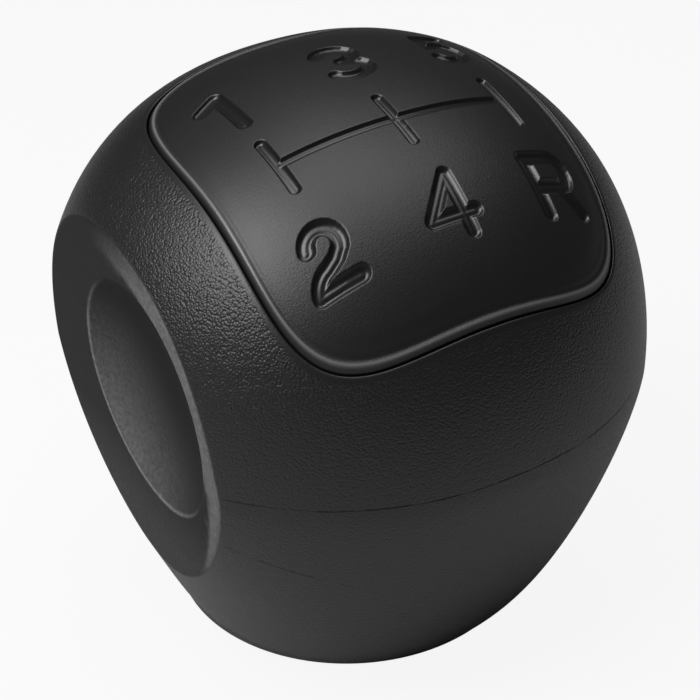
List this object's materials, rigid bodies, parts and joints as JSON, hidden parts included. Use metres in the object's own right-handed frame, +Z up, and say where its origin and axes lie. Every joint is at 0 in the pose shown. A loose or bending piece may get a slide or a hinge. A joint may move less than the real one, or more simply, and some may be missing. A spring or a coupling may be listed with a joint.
{
  "type": "gear shift knob",
  "caption": "Rounded black gear shift knob with a narrow foot, a dished thumb rest on each side and a domed cap that shows the shift pattern; it screws on the gear lever.",
  "frame": {"origin": "centre of the base face, on the gear lever's axis", "axes": "+Z up along the lever, +X to the driver's right, +Y forward, away from the driver"},
  "size_m": [0.0414, 0.0473, 0.0493],
  "materials": {
    "grip_body": "black soft-touch plastic with a leather grain",
    "pattern_cap": "satin black plastic with a fine grain",
    "lever_bush": "plain black plastic"
  },
  "bodies": {
    "root": {"grip_body": "grip_body", "pattern_cap": "pattern_cap", "lever_bush": "lever_bush"}
  },
  "joints": []
}
